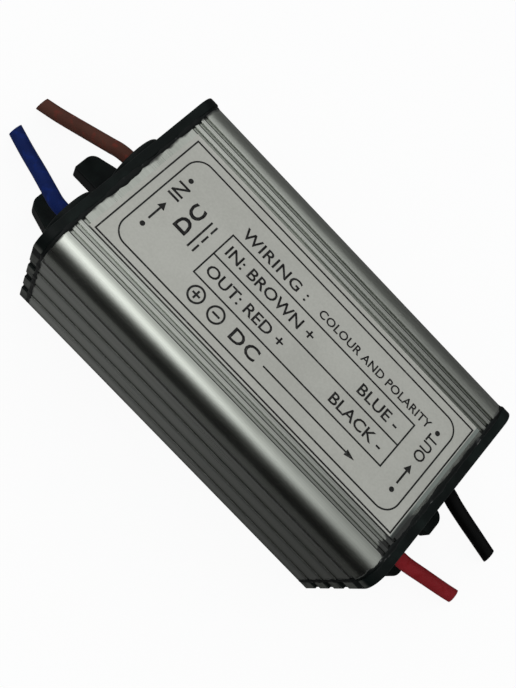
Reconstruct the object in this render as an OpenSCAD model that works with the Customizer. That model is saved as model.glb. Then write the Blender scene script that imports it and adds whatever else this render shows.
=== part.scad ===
// LED driver: a ribbed aluminium extrusion closed by two moulded end caps with fork-shaped ears.
// X runs along the case towards the output end, Z is up, and the origin is under the middle of the case.

/* [Case] */
// Length of the extruded case
case_len = 61.8; // [54:0.1:90]
// Width of the case
case_w = 36; // [34:0.5:50]
// Height of the case
case_h = 26; // [25:0.5:40]
// Thickness of the case walls
wall = 1.8; // [1.4:0.1:2.4]
// Radius of the two upper corners of the case
corner_r = 4.2; // [3:0.1:7]
// Radius of the two lower corners of the case
foot_r = 0.8; // [0.3:0.1:1.5]
// Radius of the lower corners inside the case
inner_foot_r = 0.6; // [0.3:0.1:1.2]

/* [Case grooves] */
// Number of grooves along each side of the top face
top_groove_count = 3; // [1:1:4]
// Width of a top groove
top_groove_w = 0.5; // [0.3:0.1:0.8]
// Depth of a top groove
top_groove_depth = 0.4; // [0.2:0.1:0.8]
// Distance from one top groove to the next
top_groove_pitch = 1.25; // [1:0.05:2]
// Distance from the end of the corner rounding to the outermost top groove
top_groove_margin = 0.3; // [0.3:0.1:2]
// Number of square grooves that divide each side face into even strips
side_groove_count = 3; // [1:1:4]
// Width of a side groove
side_groove_w = 0.8; // [0.4:0.1:1.4]
// Depth of a side groove
side_groove_depth = 0.7; // [0.3:0.1:0.9]
// Radius of the cove under each upper corner
cove_r = 1; // [0.6:0.1:2]
// Depth of the cove
cove_depth = 0.35; // [0.1:0.05:0.5]

/* [Card guides] */
// Thickness of a card guide rib
guide_t = 1.1; // [0.8:0.1:2]
// How far a card guide rib stands out from the wall
guide_reach = 1.6; // [1:0.1:2.4]
// Play of the circuit board between the guide ribs
guide_play = 0.1; // [0.05:0.05:0.3]

/* [End caps] */
// Thickness of the cap flange
flange_t = 1.6; // [1:0.1:3]
// Rounding of the upper corners of the flange, tighter than those of the case
flange_corner_r = 3.5; // [2:0.1:4.2]
// Length of the plug that enters the case
plug_len = 4; // [2:0.1:6]
// Thickness of the plug wall
plug_wall = 1.4; // [1:0.1:2.4]
// Clearance round the plug
plug_gap = 0.1; // [0.05:0.05:0.3]
// Thickness of the sealant bead between case and flange
seal_t = 0.3; // [0.2:0.1:1]
// How far the sealant bead stays inside the outline of the case
seal_inset = 0.2; // [0.1:0.05:0.4]
// Height of a notch in the side of the flange
notch_h = 1.9; // [1:0.1:3]
// Depth of a notch in the side of the flange
notch_depth = 0.3; // [0.2:0.1:1.1]

/* [Wire bosses] */
// Diameter of a round wire boss
boss_d = 10.4; // [6:0.1:13]
// Height of a wire boss above the flange
boss_h = 2.8; // [1.5:0.1:5]
// Rounding of the rim of a wire boss
boss_edge_r = 0.7; // [0.2:0.1:1.4]
// Distance between the two wires of one end
wire_spread = 14; // [14:0.5:20]
// Height of the wires where they leave the case
wire_z = 11.5; // [10:0.1:12.5]

/* [Mounting ears] */
// How far an ear stands out from the flange
ear_len = 9.6; // [7:0.1:16]
// Thickness of an ear
ear_t = 3.2; // [2:0.1:5]
// Width of an ear at the flange
ear_w = 19.2; // [16:0.1:28]
// Width of an ear across its tips
ear_tip_w = 13.6; // [12:0.1:16]
// Rounding of the outer corner of a tip
ear_r = 1.8; // [0.5:0.1:2.4]
// Width of the screw slot
slot_w = 5.5; // [4:0.1:6]
// Material left between the flange and the end of the slot
slot_root = 1.3; // [0.6:0.1:3]
// Rounding at the mouth of the slot
slot_mouth_r = 0.4; // [0.2:0.1:1]

/* [Label] */
// Distance from each end of the case to the label
label_end_gap = 1; // [0.6:0.1:10]
// Distance from each side of the case to the label
label_side_gap = 7.1; // [5:0.1:12]
// Thickness of the label
label_t = 0.15; // [0.1:0.05:0.3]
// Shift of the label along the case
label_x = 0.3; // [-0.6:0.1:0.6]
// Shift of the label across the case
label_y = -0.3; // [-0.6:0.1:0.6]

/* [Circuit board] */
// Thickness of the circuit board
board_t = 1.6; // [1:0.1:2]
// Clearance between the board and the side walls
board_side_gap = 0.2; // [0.1:0.05:0.4]
// Clearance between the board and the plugs
board_end_gap = 0.3; // [0.1:0.1:1]
// Diameter of the component pins
pin_d = 0.7; // [0.5:0.1:0.9]
// How far the pins stand out below the board
pin_tail = 1.2; // [0.8:0.1:2]
// Clearance round a pin in its hole
pin_gap = 0.1; // [0.05:0.05:0.2]
// Radius of a solder joint on the board
solder_r = 1.1; // [0.8:0.1:1.4]
// Height of a solder joint
solder_h = 0.8; // [0.4:0.1:1]
// Thickness of the solder round the pin at the lower end of a joint
solder_neck = 0.25; // [0.15:0.05:0.4]

/* [Board layout] */
// Clearance between the conductors and the parts at the ends of the board
end_part_gap = 0.5; // [0.3:0.1:1.5]
// Distance from the edge of the board to the capacitor cans
can_edge_gap = 3; // [2:0.1:4]
// Distance from the opposite edge of the board to the row of chips
chip_row = 7.5; // [7:0.1:8]
// Distance from the same edge to the row of small parts
small_row = 3.5; // [3:0.1:3.6]
// Distance from one small part to the next across the board
small_pitch = 2.5; // [2:0.1:3]
// Distance from the middle of the board to the sense resistors
resistor_x = 6; // [5.6:0.1:7]
// Distance from the middle of the board to the power transistor
transistor_x = 2; // [1.5:0.1:3]
// Clearance between the inductor and the power transistor
inductor_gap = 1.7; // [0.5:0.1:2.5]

/* [Components] */
// Diameter of the input capacitor
input_cap_d = 8; // [5:0.1:8.5]
// Clearance between the input capacitor and the ceiling of the case
input_cap_headroom = 2.45; // [0.5:0.05:5]
// Pin spacing of the input capacitor
input_cap_pitch = 3.5; // [2:0.1:4]
// Diameter of the output capacitor
output_cap_d = 10; // [6:0.1:10.5]
// Clearance between the output capacitor and the ceiling of the case
output_cap_headroom = 1.45; // [0.5:0.05:5]
// Pin spacing of the output capacitor
output_cap_pitch = 5; // [2.5:0.1:5.5]
// Diameter of the inductor
inductor_d = 12; // [8:0.1:12]
// Height of the inductor
inductor_h = 10; // [7:0.1:12]
// Thickness of the two discs of the inductor core
inductor_disc_t = 1.8; // [1:0.1:2.5]
// Diameter of the inductor core between its discs
inductor_neck_d = 5; // [3:0.1:6]
// How far the winding stays inside the discs
winding_inset = 0.6; // [0.3:0.1:1]
// Clearance between the winding and the core
winding_gap = 0.05; // [0.02:0.01:0.1]
// Pin spacing of the inductor
inductor_pitch = 7; // [5:0.1:7]
// Length of the controller chip
chip_len = 4.9; // [3:0.1:5.2]
// Width of the controller chip
chip_w = 3.9; // [3:0.1:4.4]
// Height of the controller chip
chip_h = 1.5; // [1.1:0.1:2]
// Length of the power transistor
transistor_len = 6.1; // [4:0.1:6.4]
// Width of the power transistor
transistor_w = 6.6; // [4:0.1:7]
// Height of the power transistor
transistor_h = 2.3; // [1.5:0.1:3]
// Length of the rectifier diode
diode_len = 4.4; // [3:0.1:5]
// Width of the rectifier diode
diode_w = 3.6; // [2:0.1:4]
// Height of the rectifier diode
diode_h = 2.2; // [1.5:0.1:3]
// Length, width and height of a sense resistor
resistor_size = [3.2, 1.6, 0.6]; // [0.4:0.05:3.4]
// Length, width and height of a ceramic capacitor
ceramic_size = [2, 1.25, 1]; // [0.4:0.05:3.2]
// Length of the end terminals of a resistor or ceramic capacitor
terminal_len = 0.45; // [0.2:0.05:0.6]
// How far the end terminals stand proud of the body
terminal_step = 0.05; // [0.02:0.01:0.1]

/* [Component details] */
// Rounding of the top of a capacitor can
can_edge_r = 0.6; // [0.2:0.1:1]
// Radius of the groove crimped into a capacitor can
crimp_r = 0.5; // [0.3:0.1:0.8]
// Height of the crimped groove
crimp_z = 1.8; // [1:0.1:3]
// How far the ends of a moulded body slope in at top and bottom
body_draft = 0.25; // [0.1:0.05:0.4]
// Thickness of the sheet metal leads
lead_t = 0.3; // [0.2:0.05:0.4]
// Distance from one lead of the controller chip to the next
chip_lead_pitch = 1.27; // [1:0.01:1.3]
// Width of a lead of the controller chip
chip_lead_w = 0.42; // [0.3:0.02:0.6]
// How far a lead stands out from the controller chip
chip_lead_reach = 1.05; // [0.8:0.05:1.3]
// Width of the soldered tab of the power transistor
tab_w = 5.3; // [3:0.1:6]
// How far the tab stands out from the power transistor
tab_reach = 1.2; // [0.6:0.1:1.6]
// Distance between the two leads of the power transistor
transistor_lead_spread = 4.6; // [3:0.1:5]
// Width of a lead of the power transistor
transistor_lead_w = 0.8; // [0.5:0.1:1.2]
// How far a lead stands out from the power transistor
transistor_lead_reach = 2; // [1.2:0.1:2.4]
// Width of a lead of the rectifier diode
diode_lead_w = 2.2; // [1:0.1:3]
// How far a lead stands out from the rectifier diode
diode_lead_reach = 1; // [0.8:0.1:1.4]

/* [Wires] */
// Diameter of a wire over its insulation
wire_d = 2.5; // [2:0.1:2.6]
// Clearance round a wire in its hole
wire_gap = 0.06; // [0.03:0.01:0.15]
// Diameter of the bare conductor
conductor_d = 1; // [0.6:0.1:1.2]
// Bend radius of the bare conductor
conductor_bend_r = 0.9; // [0.7:0.1:1.2]
// Distance from the end of the insulation to the hole of the conductor in the board
conductor_reach = 1.5; // [1.3:0.1:2]
// Distance from the end of the circuit board to the inner end of the insulation
wire_inset = 5.6; // [4.6:0.1:5.8]

/* [Hidden] */
$fn = 48;

// Overshoot of a cut past the face that it opens
cut = 1;
// How far a rib or a pin runs into the piece that carries it
root = 0.5;

// Colours of the pieces
aluminium_grey = [0.66, 0.67, 0.65];
cap_black = [0.07, 0.08, 0.07];
sealant_black = [0.04, 0.04, 0.04];
label_silver = [0.72, 0.73, 0.71];
board_green = [0.05, 0.3, 0.15];
epoxy_black = [0.1, 0.1, 0.1];
ferrite_grey = [0.2, 0.2, 0.21];
copper = [0.72, 0.4, 0.2];
tin = [0.75, 0.75, 0.73];
ceramic_tan = [0.72, 0.6, 0.42];
sleeve_blue = [0.08, 0.1, 0.22];
wire_blue = [0.06, 0.13, 0.33];
wire_brown = [0.31, 0.19, 0.16];
wire_black = [0.03, 0.03, 0.03];
wire_red = [0.45, 0.12, 0.15];

// Inside of the case
cavity_w = case_w - 2 * wall;
cavity_h = case_h - 2 * wall;
cavity_r = corner_r - wall;

// Levels of the circuit board, which carries the wires, and of the guide ribs that hold it
board_top = wire_z - wire_d / 2;
board_bottom = board_top - board_t;
guide_low = board_bottom - guide_t;
guide_high = board_top + guide_play + guide_t;
board_len = case_len - 2 * (plug_len + board_end_gap);
board_w = cavity_w - 2 * board_side_gap;

// Outer face of a flange, measured from the end of the case
flange_face = seal_t + flange_t;

// Heights of the cove, where the corner rounding ends, and of the square side grooves below it
cove_z = case_h - corner_r;
groove_heights = [for (i = [1 : side_groove_count]) i * cove_z / (side_groove_count + 1)];

// Outline of the label
label_len = case_len - 2 * label_end_gap;
label_w = case_w - 2 * label_side_gap;

// Inner end of the insulation, and the place where the wires leave their bosses
wire_start_x = board_len / 2 - wire_inset;
wire_exit_x = case_len / 2 + flange_face + boss_h;

// Middle of the bare conductors where they pass through the board
conductor_x = wire_start_x - conductor_reach;
conductor_spots = [for (end = [-1, 1], side = [-1, 1]) [end * conductor_x, side * wire_spread / 2]];

// Heights of the capacitors under the ceiling of the case
can_room = case_h - wall - board_top;
input_cap_h = can_room - input_cap_headroom;
output_cap_h = can_room - output_cap_headroom;

// Places of the parts on the board: cans along one edge, chips and small parts along the other
end_part_x = conductor_x - conductor_d / 2 - end_part_gap;
can_edge = board_w / 2 - can_edge_gap;
chip_y = chip_row - board_w / 2;
small_y = small_row - board_w / 2;
input_cap_at = [input_cap_d / 2 - end_part_x, can_edge - input_cap_d / 2];
output_cap_at = [end_part_x - output_cap_d / 2, can_edge - output_cap_d / 2];
chip_at = [chip_len / 2 - end_part_x, chip_y];
diode_at = [end_part_x - diode_len / 2 - diode_lead_reach, chip_y];
transistor_at = [-transistor_x, chip_y];
inductor_at = [0, chip_y + (transistor_w + inductor_d) / 2 + inductor_gap];
resistor_spots = [for (i = [0, 1]) [resistor_x, small_y + i * small_pitch]];
ceramic_spots = [[chip_at.x, small_y], [diode_at.x, small_y], [resistor_x, small_y + 2 * small_pitch]];

// Two pins side by side across the case
function pin_pair(at, pitch) = [for (side = [-1, 1]) at + [0, side * pitch / 2]];
pin_spots = concat(
    pin_pair(input_cap_at, input_cap_pitch),
    pin_pair(output_cap_at, output_cap_pitch),
    pin_pair(inductor_at, inductor_pitch)
);

// Routes of the wires from the face of the boss to the cut end on the table, measured from that face:
// outwards along the case, across it and up
brown_route = [
    [0.4, 0, 0], [2.4, 0, -0.5], [4.4, 0, -1.7], [8.4, 0, -4.1],
    [12.4, 0, -6.5], [15.4, 0, -8.2], [18.6, 0, -9.95]
];
blue_route = [
    [0.4, 0, 0], [2.4, 0.3, -0.5], [4.4, 1.2, -1.7], [8.4, 3.1, -4.2],
    [12.4, 4.9, -6.7], [15.4, 6.3, -8.5], [17.8, 7.4, -9.95]
];
black_route = [
    [0.4, 0, 0], [2.4, 0, -0.5], [4.4, 0.1, -1.7], [8.4, 0.6, -4.2],
    [12.4, 1.2, -6.7], [15.4, 1.6, -8.5], [17.9, 1.8, -9.95]
];
red_route = [
    [0.4, 0, 0], [2.4, 0.2, -0.5], [4.4, 0.8, -1.7], [8.4, 2.4, -4.3],
    [12.4, 4, -6.9], [14.9, 5, -8.5], [17, 5.9, -9.95]
];

// Number of flats round a wire
wire_sides = 8;

// Extrudes a drawing of the YZ plane along X
module along_x(length) {
    rotate([90, 0, 90])
        linear_extrude(length)
            children();
}

// Moves children from the end of the case at X = 0 to one of its two ends
module at_end(turn) {
    rotate([0, 0, turn])
        translate([case_len / 2, 0, 0])
            children();
}

// Flat-bottomed outline with its own radius at the top and at the bottom
module outline(w, h, top_r, low_r) {
    translate([-w / 2, low_r])
        square([w, h - low_r - top_r]);
    translate([low_r - w / 2, 0])
        square([w - 2 * low_r, h - top_r]);
    translate([top_r - w / 2, low_r])
        square([w - 2 * top_r, h - low_r]);
    for (side = [-1, 1]) {
        translate([side * (w / 2 - top_r), h - top_r])
            circle(top_r);
        translate([side * (w / 2 - low_r), low_r])
            circle(low_r);
    }
}

// Inside of the case, drawn smaller by a clearance
module cavity_outline(gap) {
    translate([0, wall + gap])
        outline(cavity_w - 2 * gap, cavity_h - 2 * gap, cavity_r, inner_foot_r);
}

// Rectangles cut into both side faces at the heights of the side grooves
module side_cuts(depth, height) {
    for (side = [-1, 1], z = groove_heights)
        translate([side * (case_w / 2 + cut / 2 - depth / 2), z])
            square([depth + cut, height], center = true);
}

// Grooves along both sides of the top face
module top_grooves() {
    for (side = [-1, 1], i = [0 : top_groove_count - 1])
        translate([side * (case_w / 2 - corner_r - top_groove_margin - i * top_groove_pitch), case_h])
            square([top_groove_w, 2 * top_groove_depth], center = true);
}

// Shallow round groove under each upper corner
module coves() {
    for (side = [-1, 1])
        translate([side * (case_w / 2 + cove_r - cove_depth), cove_z])
            circle(cove_r);
}

// Ribs on both side walls that hold the edges of the board
module card_guides() {
    for (side = [-1, 1], z = [guide_low, board_top + guide_play])
        translate([side * (cavity_w / 2 + (root - guide_reach) / 2), z + guide_t / 2])
            square([guide_reach + root, guide_t], center = true);
}

// Extruded tube with grooves outside and card guides inside
module case() {
    color(aluminium_grey)
        translate([-case_len / 2, 0, 0])
            along_x(case_len) {
                difference() {
                    outline(case_w, case_h, corner_r, foot_r);
                    cavity_outline(0);
                    top_grooves();
                    side_cuts(side_groove_depth, side_groove_w);
                    coves();
                }
                card_guides();
            }
}

// Rim that enters the case, cut away where the card guides run
module plug_outline() {
    relief = [2 * (guide_reach + plug_wall), guide_high - guide_low + 2 * plug_gap];
    difference() {
        cavity_outline(plug_gap);
        cavity_outline(plug_gap + plug_wall);
        for (side = [-1, 1])
            translate([side * cavity_w / 2, (guide_low + guide_high) / 2])
                square(relief, center = true);
    }
}

// Outline of the flange, notched beside the grooves of the case
module flange_outline() {
    difference() {
        outline(case_w, case_h, flange_corner_r, foot_r);
        side_cuts(notch_depth, notch_h);
    }
}

// Round boss with a rounded rim, standing on the XY plane
module boss() {
    boss_r = boss_d / 2;
    rotate_extrude() {
        square([boss_r, boss_h - boss_edge_r]);
        square([boss_r - boss_edge_r, boss_h]);
        translate([boss_r - boss_edge_r, boss_h - boss_edge_r])
            circle(boss_edge_r);
    }
}

// Fork with tapered prongs and rounded tips, seen from above, starting at X = 0
module ear_outline() {
    tip = ear_tip_w / 2;
    taper = atan2(ear_w / 2 - tip, ear_len);
    tangent = ear_r / tan((90 + taper) / 2);
    side_x = ear_len - tangent * cos(taper);
    side_y = tip + tangent * sin(taper);
    difference() {
        union() {
            polygon([
                [-flange_t, -ear_w / 2], [0, -ear_w / 2], [side_x, -side_y], [ear_len, tangent - tip],
                [ear_len, tip - tangent], [side_x, side_y], [0, ear_w / 2], [-flange_t, ear_w / 2]
            ]);
            for (side = [-1, 1])
                translate([ear_len - ear_r, side * (tip - tangent)])
                    circle(ear_r);
        }
        slot_outline();
    }
}

// Screw slot, open at the tips, with a rounded mouth
module slot_outline() {
    slot_x = slot_root + slot_w / 2;
    translate([slot_x, 0])
        circle(d = slot_w);
    translate([slot_x, -slot_w / 2])
        square([ear_len - slot_x + cut, slot_w]);
    for (side = [-1, 1])
        difference() {
            translate([ear_len - slot_mouth_r, side * slot_w / 2 - slot_mouth_r])
                square([slot_mouth_r + cut, 2 * slot_mouth_r]);
            translate([ear_len - slot_mouth_r, side * (slot_w / 2 + slot_mouth_r)])
                circle(slot_mouth_r);
        }
}

// Moulded cap: flange, plug, two wire bosses and the mounting ear
module end_cap() {
    color(cap_black)
        difference() {
            union() {
                translate([seal_t, 0, 0])
                    along_x(flange_t)
                        flange_outline();
                translate([-plug_len, 0, 0])
                    along_x(plug_len + flange_face)
                        plug_outline();
                for (side = [-1, 1])
                    translate([flange_face, side * wire_spread / 2, wire_z])
                        rotate([0, 90, 0])
                            boss();
                translate([flange_face, 0, 0])
                    linear_extrude(ear_t)
                        ear_outline();
            }
            for (side = [-1, 1])
                translate([-cut, side * wire_spread / 2, wire_z])
                    rotate([0, 90, 0])
                        cylinder(h = flange_face + boss_h + 2 * cut, d = wire_d + 2 * wire_gap);
        }
}

// Cap at the input end
module input_cap() {
    at_end(180)
        end_cap();
}

// Cap at the output end
module output_cap() {
    at_end(0)
        end_cap();
}

// Bead of sealant between the end of the case and the flange
module seal() {
    color(sealant_black)
        along_x(seal_t)
            difference() {
                translate([0, seal_inset])
                    outline(
                        case_w - 2 * seal_inset, case_h - 2 * seal_inset,
                        corner_r - seal_inset, foot_r
                    );
                side_cuts(notch_depth, notch_h);
                cavity_outline(0);
            }
}

// Sealant at the input end
module input_seal() {
    at_end(180)
        seal();
}

// Sealant at the output end
module output_seal() {
    at_end(0)
        seal();
}

// Film label on the top face
module label() {
    color(label_silver)
        translate([label_x - label_len / 2, label_y - label_w / 2, case_h])
            cube([label_len, label_w, label_t]);
}

// Board held between the card guides, drilled for pins and conductors
module circuit_board() {
    color(board_green)
        difference() {
            translate([-board_len / 2, -board_w / 2, board_bottom])
                cube([board_len, board_w, board_t]);
            for (spot = pin_spots)
                translate([spot.x, spot.y, board_bottom - cut])
                    cylinder(h = board_t + 2 * cut, d = pin_d + 2 * pin_gap);
            for (spot = conductor_spots)
                translate([spot.x, spot.y, board_bottom - cut])
                    cylinder(h = board_t + 2 * cut, d = conductor_d + 2 * pin_gap);
        }
}

// Two pins that pass through the board, on a piece standing on its top
module pins(pitch) {
    for (spot = pin_pair([0, 0], pitch))
        translate([spot.x, spot.y, -board_t - pin_tail])
            cylinder(h = board_t + pin_tail + root, d = pin_d);
}

// Electrolytic capacitor: a can with a crimped foot and a rounded top
module electrolytic(d, h, pitch) {
    rotate_extrude()
        difference() {
            union() {
                square([d / 2, h - can_edge_r]);
                square([d / 2 - can_edge_r, h]);
                translate([d / 2 - can_edge_r, h - can_edge_r])
                    circle(can_edge_r);
            }
            translate([d / 2 + crimp_r / 2, crimp_z])
                circle(crimp_r);
        }
    pins(pitch);
}

// Capacitor across the input
module input_capacitor() {
    color(sleeve_blue)
        translate([input_cap_at.x, input_cap_at.y, board_top])
            electrolytic(input_cap_d, input_cap_h, input_cap_pitch);
}

// Capacitor across the output
module output_capacitor() {
    color(sleeve_blue)
        translate([output_cap_at.x, output_cap_at.y, board_top])
            electrolytic(output_cap_d, output_cap_h, output_cap_pitch);
}

// Drum-shaped ferrite core with its pins
module inductor_core() {
    color(ferrite_grey)
        translate([inductor_at.x, inductor_at.y, board_top]) {
            cylinder(h = inductor_h, d = inductor_neck_d);
            for (z = [0, inductor_h - inductor_disc_t])
                translate([0, 0, z])
                    cylinder(h = inductor_disc_t, d = inductor_d);
            pins(inductor_pitch);
        }
}

// Copper winding between the discs of the core
module inductor_winding() {
    inner_r = inductor_neck_d / 2 + winding_gap;
    winding_h = inductor_h - 2 * inductor_disc_t - winding_gap;
    color(copper)
        translate([inductor_at.x, inductor_at.y, board_top + inductor_disc_t])
            rotate_extrude()
                translate([inner_r, 0])
                    square([inductor_d / 2 - winding_inset - inner_r, winding_h]);
}

// Gull-wing lead in the XZ plane: it leaves a body at X = 0 and stands on Z = 0
module gull_lead(reach, height, width) {
    foot = reach / 2;
    translate([0, width / 2, 0])
        rotate([90, 0, 0])
            linear_extrude(width)
                polygon([
                    [-lead_t, height], [-lead_t, height - lead_t],
                    [foot - lead_t, height - lead_t], [foot - lead_t, 0],
                    [reach, 0], [reach, lead_t], [foot, lead_t], [foot, height]
                ]);
}

// Moulded body with drafted ends, standing on the XY plane
module drafted_body(length, w, h) {
    end = length / 2;
    slope = end - body_draft;
    translate([0, w / 2, 0])
        rotate([90, 0, 0])
            linear_extrude(w)
                polygon([[-slope, 0], [slope, 0], [end, h / 2], [slope, h], [-slope, h], [-end, h / 2]]);
}

// Controller chip with four leads on each side
module controller_chip() {
    color(epoxy_black)
        translate([chip_at.x, chip_at.y, board_top])
            rotate([0, 0, 90]) {
                drafted_body(chip_w, chip_len, chip_h);
                for (turn = [0, 180], i = [-1.5 : 1.5])
                    rotate([0, 0, turn])
                        translate([chip_w / 2, i * chip_lead_pitch, 0])
                            gull_lead(chip_lead_reach, (chip_h + lead_t) / 2, chip_lead_w);
            }
}

// Power transistor with a soldered tab and two leads
module power_transistor() {
    color(epoxy_black)
        translate([transistor_at.x, transistor_at.y, board_top]) {
            drafted_body(transistor_len, transistor_w, transistor_h);
            translate([transistor_len / 2 - tab_reach, -tab_w / 2, 0])
                cube([2 * tab_reach, tab_w, 2 * lead_t]);
            for (side = [-1, 1])
                rotate([0, 0, 180])
                    translate([transistor_len / 2, side * transistor_lead_spread / 2, 0])
                        gull_lead(transistor_lead_reach, transistor_h / 2, transistor_lead_w);
        }
}

// Rectifier diode with a flat lead at each end
module rectifier_diode() {
    color(epoxy_black)
        translate([diode_at.x, diode_at.y, board_top]) {
            drafted_body(diode_len, diode_w, diode_h);
            for (turn = [0, 180])
                rotate([0, 0, turn])
                    translate([diode_len / 2, 0, 0])
                        gull_lead(diode_lead_reach, diode_h / 2, diode_lead_w);
        }
}

// Chip part with two raised end terminals, standing on the XY plane
module chip_part(size) {
    body = size - 2 * terminal_step * [0, 1, 1];
    translate([-body.x / 2, -body.y / 2, terminal_step])
        cube(body);
    for (x = [-size.x / 2, size.x / 2 - terminal_len])
        translate([x, -size.y / 2, 0])
            cube([terminal_len, size.y, size.z]);
}

// Resistors that sense the output current
module sense_resistors() {
    color(epoxy_black)
        for (spot = resistor_spots)
            translate([spot.x, spot.y, board_top])
                chip_part(resistor_size);
}

// Ceramic filter capacitors
module ceramic_capacitors() {
    color(ceramic_tan)
        for (spot = ceramic_spots)
            translate([spot.x, spot.y, board_top])
                chip_part(ceramic_size);
}

// Tinned conductor that leaves a wire, bends down and passes through the board
module conductor_end() {
    bend_z = wire_z - conductor_bend_r;
    bend_x = conductor_x + conductor_bend_r;
    translate([bend_x, 0, wire_z])
        rotate([0, 90, 0])
            cylinder(h = wire_start_x - bend_x, d = conductor_d);
    translate([bend_x, 0, bend_z])
        rotate([90, 0, 0])
            rotate_extrude(angle = 90, start = 90)
                translate([conductor_bend_r, 0])
                    circle(d = conductor_d);
    translate([conductor_x, 0, board_bottom - pin_tail])
        cylinder(h = bend_z - board_bottom + pin_tail, d = conductor_d);
}

// Stripped inner ends of the four wires
module conductor_ends() {
    color(tin)
        for (turn = [0, 180], side = [-1, 1])
            rotate([0, 0, turn])
                translate([0, side * wire_spread / 2, 0])
                    conductor_end();
}

// Solder cone under the board round a pin
module solder_joint(spot, d) {
    translate([spot.x, spot.y, board_bottom - solder_h])
        difference() {
            cylinder(h = solder_h, r1 = d / 2 + solder_neck, r2 = solder_r);
            translate([0, 0, -cut])
                cylinder(h = solder_h + 2 * cut, d = d + pin_gap / 2);
        }
}

// Solder joints of all pins and conductors
module solder_joints() {
    color(tin) {
        for (spot = pin_spots)
            solder_joint(spot, pin_d);
        for (spot = conductor_spots)
            solder_joint(spot, conductor_d);
    }
}

// Direction of a route at one of its points
function heading(route, i) =
    let (step = route[min(i + 1, len(route) - 1)] - route[max(i - 1, 0)])
    step / norm(step);

// Ring of points round one point of a route; the last one is upright, because the wire is cut off there
function ring(route, i) =
    let (
        ahead = heading(route, i),
        across = cross([0, 0, 1], ahead) / norm(cross([0, 0, 1], ahead)),
        upward = cross(ahead, across),
        slide = i == len(route) - 1 ? ahead / ahead.x : [0, 0, 0]
    )
    [
        for (k = [0 : wire_sides - 1])
            let (
                a = (k + 0.5) * 360 / wire_sides,
                out = wire_d / 2 * (cos(a) * across + sin(a) * upward)
            )
            route[i] + out - out.x * slide
    ];

// Whole route of one wire in the part's frame: straight from the board to the boss, then free
function whole_route(end, side, free) =
    let (inside = wire_start_x - wire_exit_x)
    [
        for (p = concat([[inside, 0, 0], [inside / 2, 0, 0]], free))
            [end * (wire_exit_x + p.x), side * wire_spread / 2 + p.y, wire_z + p.z]
    ];

// Tube of one wire swept along its route, at one end and on one side of the case
module wire(end, side, free) {
    route = whole_route(end, side, free);
    rings = len(route);
    last = (rings - 1) * wire_sides;
    polyhedron(
        points = [for (i = [0 : rings - 1]) each ring(route, i)],
        faces = concat(
            [[for (k = [0 : wire_sides - 1]) k]],
            [
                for (i = [0 : rings - 2], k = [0 : wire_sides - 1])
                    let (a = i * wire_sides, next = (k + 1) % wire_sides)
                    [a + k, a + wire_sides + k, a + wire_sides + next, a + next]
            ],
            [[for (k = [wire_sides - 1 : -1 : 0]) last + k]]
        )
    );
}

// Blue input wire
module blue_wire() {
    color(wire_blue)
        wire(-1, -1, blue_route);
}

// Brown input wire
module brown_wire() {
    color(wire_brown)
        wire(-1, 1, brown_route);
}

// Black output wire
module black_wire() {
    color(wire_black)
        wire(1, 1, black_route);
}

// Red output wire
module red_wire() {
    color(wire_red)
        wire(1, -1, red_route);
}

case();
input_cap();
output_cap();
input_seal();
output_seal();
label();
circuit_board();
input_capacitor();
output_capacitor();
inductor_core();
inductor_winding();
controller_chip();
power_transistor();
rectifier_diode();
sense_resistors();
ceramic_capacitors();
conductor_ends();
solder_joints();
blue_wire();
brown_wire();
black_wire();
red_wire();
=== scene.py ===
"""Looks of a small LED driver: extruded aluminium case, moulded end caps, printed label and four leads."""
import math

import bmesh
import bpy
from mathutils import Matrix, Vector


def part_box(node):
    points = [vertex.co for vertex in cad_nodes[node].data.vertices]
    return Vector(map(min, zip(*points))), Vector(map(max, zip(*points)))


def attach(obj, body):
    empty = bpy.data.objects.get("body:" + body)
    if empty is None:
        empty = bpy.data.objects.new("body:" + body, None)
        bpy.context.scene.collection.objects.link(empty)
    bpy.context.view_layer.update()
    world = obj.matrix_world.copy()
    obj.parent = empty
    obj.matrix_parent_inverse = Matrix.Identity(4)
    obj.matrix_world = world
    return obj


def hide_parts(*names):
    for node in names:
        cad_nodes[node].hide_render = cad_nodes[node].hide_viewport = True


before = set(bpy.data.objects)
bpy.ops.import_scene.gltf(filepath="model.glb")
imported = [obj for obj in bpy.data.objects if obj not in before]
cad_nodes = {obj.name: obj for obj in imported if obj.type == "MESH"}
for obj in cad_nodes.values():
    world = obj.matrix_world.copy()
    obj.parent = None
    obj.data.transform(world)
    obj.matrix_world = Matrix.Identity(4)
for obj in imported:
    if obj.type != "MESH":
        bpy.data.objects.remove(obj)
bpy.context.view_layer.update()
MM = 0.001

# Camera, fitted to the photograph's view of the case
PHOTO_H = 688
SENSOR_MM = 36.0
FOCAL_PX = 916.3
CAMERA_AT = Vector((-8.74, -55.98, 142.7)) * MM
CAMERA_AHEAD = Vector((0.0525, 0.3972, -0.9162))
CAMERA_UP = Vector((-0.7204, 0.6504, 0.2406))

# Case and label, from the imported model
case_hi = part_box("case")[1]
CASE_END = case_hi.x
CASE_SIDE = case_hi.y
CASE_TOP = case_hi.z
LABEL_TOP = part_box("label")[1].z
CORNER_R = 4.2 * MM
FOOT_R = 0.8 * MM
SEAL_T = 0.3 * MM

# Middle and spacing of the top grooves and spacing of the side strips, in millimetres
GROOVE_Y = 11.0
GROOVE_PITCH = 1.25
STRIP_PITCH = 5.45

# Softened copies of CAD nodes: edges sharper than this are rounded
SHARP_EDGE = math.radians(35)
FLAT_ANGLE = math.radians(0.3)
WELD_DISTANCE = 0.002 * MM

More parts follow.
